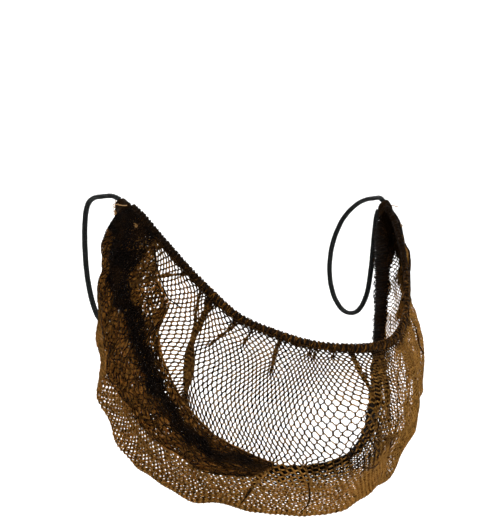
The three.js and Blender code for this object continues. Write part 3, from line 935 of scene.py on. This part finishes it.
# ---- the sharp folds ----
# Where the slack net has been pressed flat, the edges of its folds show as fine dark lines: the
# doubled yarn seen edge on. Each line is given by sections and shares of the way across.
FOLD_EDGES = [
    [(8.95, 0.07), (9.25, 0.13), (9.45, 0.19), (9.6, 0.26), (9.5, 0.33), (9.4, 0.42)],
    [(9.05, 0.24), (9.15, 0.29), (9.25, 0.34), (9.4, 0.42), (9.65, 0.49), (9.95, 0.57)],
    [(10.4, 0.10), (10.1, 0.16), (10.05, 0.26), (10.05, 0.38), (9.95, 0.46), (10.0, 0.57),
     (9.85, 0.65)],
    [(9.65, 0.28), (9.85, 0.33), (10.05, 0.38), (10.5, 0.43)],
    [(8.9, 0.45), (9.1, 0.49), (9.4, 0.53), (9.85, 0.56), (10.2, 0.58)],
    [(8.35, 0.50), (8.45, 0.57), (8.5, 0.64), (8.45, 0.70)],
    [(7.8, 0.55), (7.75, 0.62), (7.7, 0.70)],
    [(5.1, 0.57), (5.9, 0.58), (6.3, 0.57), (6.6, 0.56)],
    [(6.7, 0.60), (7.0, 0.60), (7.4, 0.59), (7.7, 0.57), (7.8, 0.54), (7.9, 0.50)],
    [(12.1, 0.05), (12.0, 0.22), (12.3, 0.40), (12.2, 0.58)],
    [(13.6, 0.08), (13.2, 0.25), (13.4, 0.45), (13.0, 0.62)],
]
EDGE_YARNS = 4            # yarns that lie together in one fold's edge
EDGE_SPREAD = 0.004       # of the way across
EDGE_RADIUS = 0.30 * MM
EDGE_STEPS = 14           # from one place of a line to the next

edge_lines = []
for line in FOLD_EDGES:
    steps = EDGE_STEPS * (len(line) - 1)
    middle = through(np.array(line), np.linspace(0, len(line) - 1, steps))
    spread = EDGE_SPREAD * np.sin(np.linspace(0.25, math.pi - 0.25, steps))
    for _ in range(EDGE_YARNS):
        s = middle[:, 0] + 3 * spread * RNG.uniform(-1, 1)
        t = middle[:, 1] + spread * RNG.uniform(-1, 1)
        points = flap_point(s, t, RNG.uniform(0.5, 0.9))
        tapered = EDGE_RADIUS * (0.25 + 0.75 * np.sin(np.linspace(0, math.pi, steps)))
        edge_lines.append((points[None], tapered[None], RNG.uniform(0.05, 0.4, (1, steps))))
fold_edges = strands("net_fold_edges", edge_lines, net_yarn)
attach(fold_edges, "root")
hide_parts("net_pouch")


# ---- the rolled edge over the lip ----
# The net's upper edge, rolled round a thin elastic and overlocked with the same dark nylon into a
# rope about 4 mm high with slanting ribs. Its two ends are sewn into the gathers at the ears.
RIM_HEIGHT = 4.0 * MM
RIM_THICK = 2.6 * MM
RIM_RIB = 2.1 * MM        # from one rib of the overlock to the next
RIM_LOOPS = 200
# Overlock yarns: pitch and radius in mm, hand 1 or -1, start as an angle round the rope.
RIM_WINDINGS = named_rows("pitch hand start radius tone loose", [
    (2.10,  1, 0.0, 0.30, 0.30, 0.05),
    (2.10,  1, 0.3, 0.30, 0.44, 0.05),
    (2.10,  1, 0.6, 0.30, 0.58, 0.05),
    (3.36, -1, 1.0, 0.20, 0.75, 0.04),
])
RIM_NET_SIDE = math.pi    # angle round the rope at which the net leaves it
RIB_STEPS = 6             # rings of the core for one rib
BAND_SIDES = 14
CORE_FILL = 0.86          # size of the core, as a share of the band with its windings
TURN_POINTS = 10          # points of a winding for one turn
WINDING_WANDER = 0.09     # how far it strays, in pitches
SEWN_IN_SHADE = 0.3           # painted shade: share of its tone left where it is sewn in


def band_guide(line, outward, half_width, half_thick):
    """Distances along a line of the net and, at each, its point, cross directions and half sizes."""
    walked = np.concatenate([[0], np.cumsum(np.linalg.norm(np.diff(line, axis=0), axis=1))])
    tangent = unit(np.gradient(line, axis=0))
    across = unit(np.cross(outward, tangent))
    up = np.cross(tangent, across)
    sizes = np.stack([np.broadcast_to(half_width, walked.shape),
                      np.broadcast_to(half_thick, walked.shape)], axis=1)
    return walked, np.concatenate([line, across, up, sizes], axis=1)


def band_point(guide, distance, angle, swell=1.0, out=0.0):
    """A point on a band's oval skin, angle 0 lying along the net; out is how far it stands off."""
    walked, table = guide
    values = np.stack([np.interp(distance, walked, table[:, k]) for k in range(11)], axis=-1)
    sideways = (values[..., 9] * swell + out) * np.cos(angle)
    height = (values[..., 10] * swell + out) * np.sin(angle)
    return (values[..., 0:3] + values[..., 3:6] * sideways[..., None]
            + values[..., 6:9] * height[..., None])


def ring_mesh(name, rings, tones, material):
    """Closed smooth skin over rings of points, its two ends drawn together."""
    count, sides = rings.shape[:2]
    points = np.concatenate([rings.reshape(-1, 3), rings[:1].mean(axis=1), rings[-1:].mean(axis=1)])
    index = np.arange(count * sides).reshape(count, sides)
    after = np.roll(index, -1, axis=1)
    faces = np.stack([index[:-1], after[:-1], after[1:], index[1:]], axis=-1).reshape(-1, 4)
    first, last = len(points) - 2, len(points) - 1
    near = [(first, b, a) for a, b in zip(index[0], after[0])]
    far = [(last, a, b) for a, b in zip(index[-1], after[-1])]
    middle = rings.mean(axis=(0, 1))
    corners = points[faces] - middle
    volume = np.einsum("ij,ij->", corners[:, 0], np.cross(corners[:, 1], corners[:, 2]))
    all_faces = faces.tolist() + near + far
    if volume < 0:
        all_faces = [face[::-1] for face in all_faces]
    mesh = bpy.data.meshes.new(name)
    mesh.from_pydata(points.tolist(), [], all_faces)
    tone = np.concatenate([np.broadcast_to(tones, (count, sides)).ravel(), [0.0, 0.0]])
    mesh.attributes.new("tone", "FLOAT", "POINT").data.foreach_set("value", tone.astype(np.float32))
    mesh.materials.append(material)
    mesh.shade_smooth()
    piece = bpy.data.objects.new(name, mesh)
    scene.collection.objects.link(piece)
    return piece


def band_core(name, guide, rib, depth, slant, sides, material):
    """The band's body, an oval rope with ribs of some depth that slant round it, with painted shade
    in their grooves.
    """
    length = guide[0][-1]
    distance = np.linspace(0, length, int(RIB_STEPS * length / rib) + 1)[:, None]
    angle = np.linspace(0, 2 * math.pi, sides, endpoint=False)[None, :]
    phase = 2 * math.pi * distance / rib + slant * angle
    wander = 1.1 * np.sin(distance / (2.7 * rib)) + 0.8 * np.sin(distance / (1.3 * rib) + 2)
    wave = np.sin(phase + wander)
    rough = RNG.uniform(-0.5, 0.5, wave.shape)
    rings = band_point(guide, distance + 0 * angle, angle + 0 * distance,
                       CORE_FILL + depth * (wave + rough))
    # painted shade: tone follows the ribs, darker in their grooves and lighter on their crests
    return ring_mesh(name, rings, 0.16 + 0.14 * wave + 0.1 * rough, material)


def wound_yarn(guide, winding):
    """One yarn that winds round a band from end to end, with painted shade towards its ends where it
    is sewn in.
    """
    length = guide[0][-1]
    pitch = winding["pitch"] * MM
    count = int(length / pitch * TURN_POINTS)
    turned = np.linspace(0, 2 * math.pi * length / pitch, count)
    distance = length * turned / turned[-1] + RNG.normal(0, WINDING_WANDER * pitch, count)
    swell = 1 + RNG.uniform(-winding["loose"], winding["loose"], count)
    angle = winding["start"] + winding["hand"] * turned
    points = band_point(guide, np.clip(distance, 0, length), angle, swell)
    from_end = np.minimum(distance, length - distance)
    # painted shade towards the ends
    fade = SEWN_IN_SHADE + (1 - SEWN_IN_SHADE) * smooth(from_end, 0.08 * length, 0.24 * length)
    tone = np.clip(winding["tone"] + RNG.normal(0, 0.12, (1, count)), 0, 1)
    return points[None], winding["radius"] * MM, tone * fade


def stray_loops(guide, count, reach, span, radius, tone, sides=(0.0, math.pi)):
    """Small loops of the net's own yarn that stand out of the sides of a band."""
    length = guide[0][-1]
    bend = np.linspace(0, math.pi, 7)[None, :]
    middle = RNG.uniform(0.01 * length, 0.99 * length, (count, 1))
    side = RNG.choice(sides, (count, 1)) + RNG.normal(0, 0.45, (count, 1))
    out = reach * RNG.uniform(0.3, 1.0, (count, 1)) * np.sin(bend) - 0.1 * MM
    distance = middle + span * RNG.uniform(0.5, 1.2, (count, 1)) * np.cos(bend)
    lean = side + RNG.normal(0, 0.25, (count, 1)) * np.sin(bend)
    return band_point(guide, distance, lean, 1.0, out), radius, tone + 0 * bend


edge_yarn = yarn_material("edge_yarn", DYE["deep"], (0.013, 0.005, 0.0006), (0.17, 0.072, 0.01),
                          gloss=0.03, patches=260)

rim_guide = band_guide(rim_line, net_outward[:, 0], RIM_HEIGHT / 2, RIM_THICK / 2)
rim_roll = band_core("lip_edge_roll", rim_guide, RIM_RIB, 0.09, 1.0, BAND_SIDES, edge_yarn)
rim_windings = [wound_yarn(rim_guide, winding) for winding in RIM_WINDINGS]
rim_windings.append(stray_loops(rim_guide, RIM_LOOPS, 0.45 * MM, 1.2 * MM, 0.20 * MM, 0.45,
                                sides=(RIM_NET_SIDE,)))
rim_overlock = strands("lip_edge_overlock", rim_windings, edge_yarn)
for piece in (rim_roll, rim_overlock):
    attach(piece, "root")
    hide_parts("upper_band")


# ---- the gathered edge under the jaw ----
# The net's other edge, drawn up on a flat elastic and overlocked: a dark band, widest in front of
# the ears, with the bunched net standing out on both sides of it. Sewn into the gathers too.
JAW_THICK = 2.8 * MM
JAW_RIB = 1.7 * MM
JAW_SIDES = 15
JAW_LOOPS = 560
JAW_WINDINGS = named_rows("pitch hand start radius tone loose", [
    (1.0,  1, 0.0, 0.33, 0.10, 0.06),
    (2.1, -1, 2.0, 0.26, 0.30, 0.12),
])

jaw_widths = [SECTIONS[min(i, LAST - i)]["jaw_width"] * MM for i in range(LAST + 1)]
jaw_guide = band_guide(jaw_line, unit(jaw_line - HEAD_MIDDLE * MM),
                       np.interp(stations, range(LAST + 1), jaw_widths) / 2, JAW_THICK / 2)
jaw_core = band_core("jaw_edge_band", jaw_guide, JAW_RIB, 0.06, 0.6, JAW_SIDES, edge_yarn)
jaw_windings = [wound_yarn(jaw_guide, winding) for winding in JAW_WINDINGS]
jaw_windings.append(stray_loops(jaw_guide, JAW_LOOPS, 1.0 * MM, 0.9 * MM, 0.24 * MM, 0.4))
jaw_overlock = strands("jaw_edge_overlock", jaw_windings, edge_yarn)
for piece in (jaw_core, jaw_overlock):
    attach(piece, "root")
    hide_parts("jaw_band")


# ---- the gathered ends at the ears ----
# At each ear both edges and the net between them are drawn together into a flat wedge and sewn
# through with dark thread. A few tan ends of the tacking thread are left standing on it.
GATHER_SECTIONS = named_rows("middle height thick", [
    ((71.9, -16.7, -5.1), 10.6, 4.8),
    ((72.2, -15.7, -3.9), 9.8, 4.8),
    ((72.6, -14.1, -2.1), 8.0, 4.2),
    ((72.9, -13.2, -0.9), 6.0, 3.4),
])
GATHER_LEAN = unit(np.array((0, -0.75, 0.66)))
GATHER_YARNS = 90
GATHER_POINTS = 7
GATHER_RADIUS = 0.26 * MM
STITCHES = 16
STITCH_POINTS = 12
STITCH_RADIUS = 0.24 * MM
WEDGE_RINGS = 15
WEDGE_SIDES = 28
NET_END_YARNS = 150       # bunched net between the edges, drawn into the gather
NET_END_STEPS = 14        # grid steps from the net's end at which they start
NET_END_RADIUS = 0.27 * MM
TACK_LINE = [(-75.3, -12.6, -1.9), (-75.6, -16.5, -1.4), (-75.5, -20.0, -1.6), (-74.6, -23.6, -1.2)]
TACK_ENDS = 9
TACK_FRAY = (-74.6, -12.4, -4.0)
TACK_SPOT = {"from_ear": 1.35, "across": 0.125, "lift": 1.8}


def gather_point(side, at, angle, out=0.0):
    """A point on the wedge's skin; at counts its sections from the net towards the loop."""
    middle = through(np.array([row["middle"] for row in GATHER_SECTIONS]), np.clip(at, -0.9, 3.6))
    counts = range(len(GATHER_SECTIONS))
    high = np.interp(at, counts, [row["height"] / 2 for row in GATHER_SECTIONS]) + out
    thick = np.interp(at, counts, [row["thick"] / 2 for row in GATHER_SECTIONS]) + out
    point = middle * (side, 1, 1) + GATHER_LEAN * (np.cos(angle) * high)[:, None]
    return (point + np.array((side, 0, 0)) * (np.sin(angle) * thick)[:, None]) * MM


def gather_core(name, side):
    angle = np.linspace(0, 2 * math.pi, WEDGE_SIDES, endpoint=False)
    rings = np.array([gather_point(side, np.full(WEDGE_SIDES, at), angle, -0.25)
                      for at in np.linspace(0, 3, WEDGE_RINGS)])
    return ring_mesh(name, rings, 0.12, edge_yarn)


def gather_yarns(side):
    """Bunched net that runs along the wedge and the dark thread that binds it."""
    blocks = []
    for start in np.linspace(0, 2 * math.pi, GATHER_YARNS, endpoint=False):
        at = np.linspace(-0.5, 3.2, GATHER_POINTS)
        angle = start + RNG.normal(0, 0.12) + 0.12 * np.sin(at * 2 + RNG.uniform(0, 6))
        out = RNG.uniform(-0.15, 0.25, GATHER_POINTS) - 1.2 * smooth(at, 2.9, 3.2)
        tone = RNG.uniform(0.0, 0.45)
        blocks.append((gather_point(side, at, angle, out)[None], GATHER_RADIUS, tone))
    turned = np.linspace(0, 2 * math.pi * STITCHES, STITCHES * STITCH_POINTS)
    at = np.linspace(0.1, 3.0, len(turned)) + 0.12 * np.sin(turned)
    blocks.append((gather_point(side, at, turned, 0.32)[None], STITCH_RADIUS, 0.3))
    return blocks


def net_end_yarns(side):
    """Bunched net between the two edges, drawn into the wedge."""
    crosswise = (net_grid[NET_END_STEPS], net_grid[0])
    if side > 0:
        crosswise = (net_grid[-1 - NET_END_STEPS], net_grid[-1])
    steps = range(CROSS_STEPS + 1)
    blocks = []
    for t in RNG.uniform(0, 1, NET_END_YARNS):
        on_net = np.array([[np.interp(t * CROSS_STEPS, steps, row[:, k]) for k in range(3)]
                           for row in crosswise])
        spread = 2.6 * (0.5 - t) + RNG.normal(0, 0.3)
        skin = gather_point(side, np.array([0.3, 1.6]), np.array([spread, spread * 0.9]), -0.3)
        points = np.concatenate([on_net, skin])
        points = through(points, np.linspace(0, 3, 8)) + RNG.normal(0, 0.22 * MM, (8, 3))
        blocks.append((points[None], NET_END_RADIUS, RNG.uniform(0.0, 0.35)))
    return blocks


tack_thread = yarn_material("tan_tack_thread", (0.10, 0.045, 0.012), (0.30, 0.16, 0.055),
                            (0.52, 0.33, 0.16), gloss=0.1, patches=600)


def tack_paths(side):
    """Tan tacking thread: one long stitch, frayed ends at the back and a knot lower down."""
    line = through(np.array(TACK_LINE), np.linspace(0, 3, 14)) + RNG.normal(0, 0.12, (14, 3))
    blocks = [(line[None] * MM, 0.22 * MM, 0.6)]
    bend = np.linspace(0, 2 * math.pi, 9)
    for _ in range(TACK_ENDS):
        turn = RNG.uniform(0, 2 * math.pi)
        centre = np.array(TACK_FRAY) + RNG.normal(0, 0.9, 3) * (0.5, 0.8, 1.8)
        curl = np.stack([0.5 * np.sin(bend + turn), 0.9 * np.cos(bend), 0.8 * np.sin(bend)], axis=1)
        blocks.append(((centre + curl * RNG.uniform(0.6, 1.2))[None] * MM, 0.16 * MM, 0.5))
    blocks = [(points * (-side, 1, 1), radius, tone) for points, radius, tone in blocks]
    spot = flap_point(np.array([TACK_SPOT["from_ear"]]), np.array([TACK_SPOT["across"]]),
                      TACK_SPOT["lift"], side > 0)
    for shift in (-0.8, 0.8):
        knot = np.stack([0.5 * np.sin(3 * bend), shift + 0.7 * np.cos(bend),
                         0.6 * np.sin(bend) + 0.3 * shift], axis=1)
        blocks.append(((spot + knot * MM)[None], 0.24 * MM, 0.35))
    return blocks


for name, side in (("right", -1), ("left", 1)):
    wedge = gather_core("ear_gather_core_" + name, side)
    bunch = strands("ear_gather_net_" + name, gather_yarns(side) + net_end_yarns(side), edge_yarn)
    tack = strands("ear_tack_thread_" + name, tack_paths(side), tack_thread)
    for piece in (wedge, bunch, tack):
        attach(piece, "root")
        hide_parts("ear_gather_" + name)


# ---- the ear loops ----
# Flat braided elastic, near black, 2.8 mm wide. Each loop leaves the gather at the top of the ear,
# runs behind the ear and comes back up in front of it, and both its ends are sewn in there.
LOOP_ROUTE = [
    (73.0, -12.4, 0.7), (74.4, -7.5, 1.6), (75.8, 0, 0.7), (76.2, 8, -0.8), (75.2, 16, -4.8),
    (72.8, 23, -13), (70.4, 27, -26), (69, 26, -40), (68.6, 20, -51.5), (69.2, 10.5, -58),
    (70.2, 0.5, -56.5), (70.8, -6, -47.5), (71, -8.4, -34), (71.2, -9, -20), (71.8, -9.2, -9),
    (72.4, -9.9, -4.2),
]
LOOP_POINTS = 400
LOOP_WIDTH = 2.8 * MM
LOOP_THICK = 2.2 * MM
LOOP_RIB = 1.6 * MM
LOOP_SIDES = 12
BRAID_STRANDS = 8         # each way
BRAID_PITCH = 6.5 * MM
BRAID_POINTS = 18         # points of a strand for one pitch
BRAID_RADIUS = 0.27 * MM


def loop_guide(side):
    steps = np.linspace(0, len(LOOP_ROUTE) - 1, LOOP_POINTS)
    route = through(np.array(LOOP_ROUTE), steps) * (side, 1, 1) * MM
    tangent = unit(np.gradient(route, axis=0))
    across = np.array((side, 0, 0)) - tangent * tangent[:, :1] * side
    outward = np.cross(tangent, unit(across))
    return band_guide(route, outward, LOOP_WIDTH / 2 - BRAID_RADIUS, LOOP_THICK / 2 - BRAID_RADIUS)


def braid_blocks(guide):
    """Strands of both hands that pass over and under each other round a flat core."""
    length = guide[0][-1]
    count = int(BRAID_POINTS * length / BRAID_PITCH)
    distance = np.linspace(0, length, count)
    turned = 2 * math.pi * distance / BRAID_PITCH
    blocks = []
    for k in range(BRAID_STRANDS):
        shift = 2 * math.pi * k / BRAID_STRANDS
        for hand in (1, -1):
            weave = hand * 0.12 * MM * np.cos(BRAID_STRANDS * turned / 2)
            points = band_point(guide, distance, shift + hand * turned, 1.0, weave)
            # painted shade where a strand dips under the others, lighter where it lies over them
            tone = 0.35 + 0.25 * hand * np.cos(BRAID_STRANDS * turned / 2)
            blocks.append((points[None], BRAID_RADIUS, tone[None]))
    return blocks


elastic = yarn_material("braided_elastic", (0.0012, 0.0013, 0.0012), (0.003, 0.0034, 0.0031),
                        (0.015, 0.018, 0.016), gloss=0.14)

for name, side in (("right", -1), ("left", 1)):
    guide = loop_guide(side)
    core = band_core("ear_loop_core_" + name, guide, LOOP_RIB, 0.02, 0.0, LOOP_SIDES, elastic)
    braid = strands("ear_loop_braid_" + name, braid_blocks(guide), elastic)
    for piece in (core, braid):
        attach(piece, "root")
        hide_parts("ear_loop_" + name)


# ---- the net as it was cut ----
# One knit throughout, so a piece lying flat measures its columns and courses at the pitch they
# have where the net lies open, neither bunched, tucked nor stretched. The two edges gather it.


def open_pitch():
    """Usual distance from one column and from one course to the next, in metres."""
    column, course = np.meshgrid(np.arange(0.5, COLUMNS - 1), np.arange(0.5, COURSES - 1))
    s, t, lift = knit_place(column, course)
    lies_open = (bunched(s, t) < 0.05) & (chin_stretch(s, t) < 1.05) & (lift < 0.01 * MM)
    lies_open &= np.minimum(s, LAST - s) > 4
    here = knit_point(column, course)
    along = np.linalg.norm(knit_point(column + 1, course) - here, axis=-1)
    across = np.linalg.norm(knit_point(column, course + 1) - here, axis=-1)
    return float(np.median(along[lies_open])), float(np.median(across[lies_open]))


column_pitch, course_pitch = open_pitch()
fold_courses = FLAP_COURSES * len(FLAP_LAYERS)
cut_counts = {part["name"]: (part["last"] - part["first"], COURSES) for part in NET_PARTS}
cut_counts["net_fold_right"] = (FLAP_COLUMNS, fold_courses)
cut_counts["net_fold_left"] = (round(FLAP_COLUMNS * LEFT_FLAP_LAST / FLAP_LAST), fold_courses)
